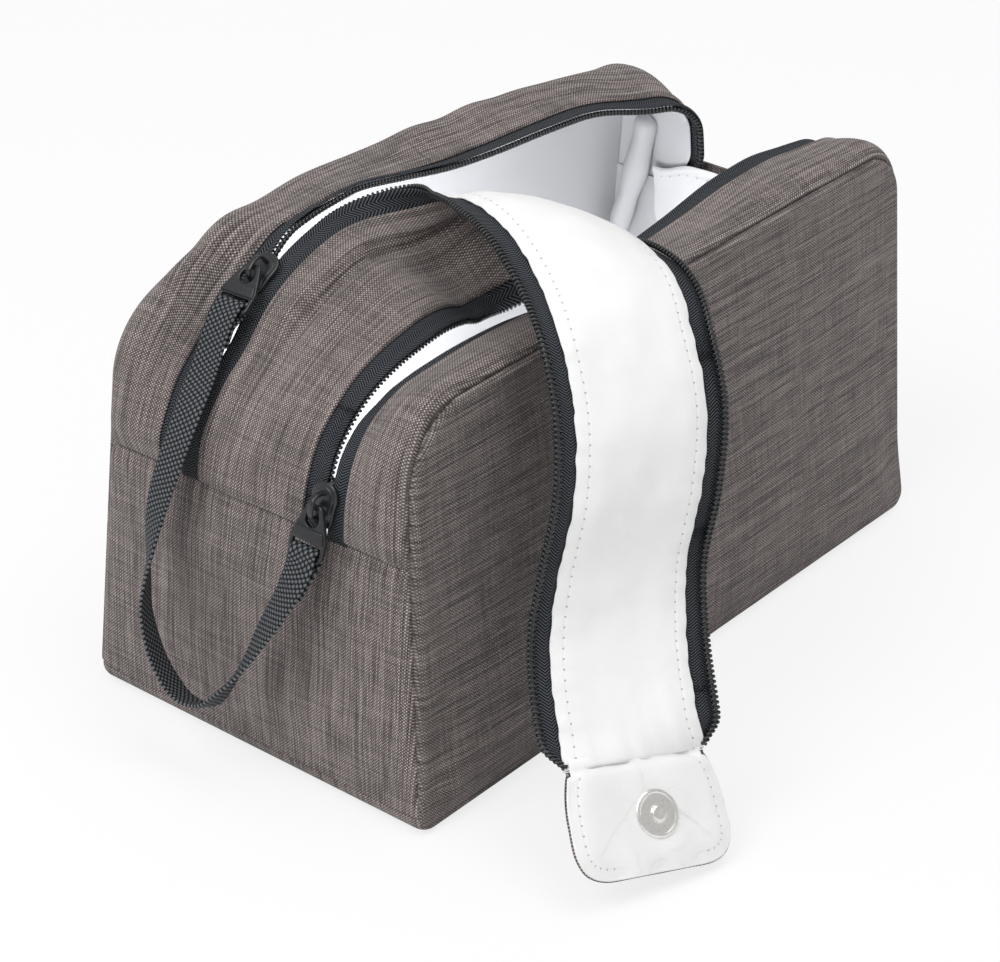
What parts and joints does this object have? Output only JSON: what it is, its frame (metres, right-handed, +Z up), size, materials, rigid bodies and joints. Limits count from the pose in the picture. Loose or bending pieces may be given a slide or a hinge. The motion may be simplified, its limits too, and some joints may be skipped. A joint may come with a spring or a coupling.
{
  "type": "toiletry bag",
  "caption": "Soft box-shaped toiletry bag with twin zips over its top, an opened flap with a snap tab, a webbing handle and a grey lining.",
  "frame": {"origin": "centre of the bag's width at the resting plane, near the middle of its length", "axes": "+X from the near end, where the sliders stand, to the far end; -Y out of the front side, before which the flap hangs; +Z up"},
  "size_m": [0.2743, 0.2135, 0.1666],
  "materials": {
    "shell_fabric": "melange plain weave",
    "zip_tape": "herringbone tape",
    "webbing": "ribbed webbing",
    "zip_coil": "glossy nylon coil",
    "grey_lining": "smooth light grey lining",
    "white_lining": "fine white twill",
    "foam": "soft foam sheet",
    "board": "stiff base board",
    "black_metal": "black lacquered die casting",
    "nickel": "plain nickel plating"
  },
  "bodies": {
    "bag": {"front_panel": "shell_fabric", "front_foam": "foam", "front_lining": "grey_lining", "back_panel": "shell_fabric", "back_foam": "foam", "back_lining": "grey_lining", "near_end_panel": "shell_fabric", "far_end_panel": "shell_fabric", "base_panel": "shell_fabric", "base_board": "board", "base_lining": "grey_lining", "near_end_lining": "grey_lining", "far_end_lining": "grey_lining", "front_strip": "shell_fabric", "front_strip_lining": "grey_lining", "front_zip_tape": "zip_tape", "front_zip_coil": "zip_coil", "back_strip": "shell_fabric", "back_strip_lining": "grey_lining", "back_zip_tape": "zip_tape", "back_zip_coil": "zip_coil", "flap_root_shell": "shell_fabric", "flap_root_lining": "white_lining", "flap_root_back_tape": "zip_tape", "flap_root_front_tape": "zip_tape", "flap_root_back_coil": "zip_coil", "flap_root_front_coil": "zip_coil", "snap_socket": "nickel", "snap_socket_washer": "nickel", "front_zip_stop": "black_metal", "back_zip_stop": "black_metal"},
    "flap": {"flap_shell": "shell_fabric", "flap_lining": "white_lining", "flap_back_tape": "zip_tape", "flap_front_tape": "zip_tape", "flap_back_coil": "zip_coil", "flap_front_coil": "zip_coil"},
    "tab": {"tab_shell": "shell_fabric", "tab_lining": "white_lining", "snap_stud_washer": "nickel", "snap_stud": "nickel"},
    "front_slider": {"front_slider_body": "black_metal", "front_slider_bridge": "black_metal"},
    "back_slider": {"back_slider_body": "black_metal", "back_slider_bridge": "black_metal"},
    "handle": {"back_pull": "black_metal", "front_pull": "black_metal", "handle_webbing": "webbing"}
  },
  "joints": [
    {"name": "flap_lift", "type": "hinge", "parent": "bag", "child": "flap", "pos_m": [-0.04447, -0.07204, 0.15218], "axis": [-0.901, 0.4044, 0.1568], "range_deg": [0, 90]},
    {"name": "tab_bend", "type": "hinge", "parent": "flap", "child": "tab", "pos_m": [-0.09387, -0.1224, 0.03409], "axis": [-0.9266, 0.3322, 0.1764], "range_deg": [-15, 60]},
    {"name": "front_slider_travel", "type": "slide", "parent": "bag", "child": "front_slider", "axis": [0.5879, 0, 0.8089], "range_m": [0, 0.008], "deforming": ["front_zip_tape", "front_zip_coil", "back_zip_tape", "back_zip_coil", "flap_root_front_tape", "flap_root_front_coil", "flap_root_back_tape", "flap_root_back_coil"]},
    {"name": "back_slider_travel", "type": "slide", "parent": "bag", "child": "back_slider", "axis": [0.5879, 0, 0.8089], "range_m": [0, 0.008], "deforming": ["front_zip_tape", "front_zip_coil", "back_zip_tape", "back_zip_coil", "flap_root_front_tape", "flap_root_front_coil", "flap_root_back_tape", "flap_root_back_coil"]},
    {"name": "handle_swing", "type": "hinge", "parent": "front_slider", "child": "handle", "pos_m": [-0.12672, -0.0291, 0.09423], "axis": [0.444, 0.712, 0.544], "range_deg": [0, 25]}
  ],
  "couplings": [
    {"joint": "back_slider_travel", "follows": "front_slider_travel", "ratio": 1}
  ]
}
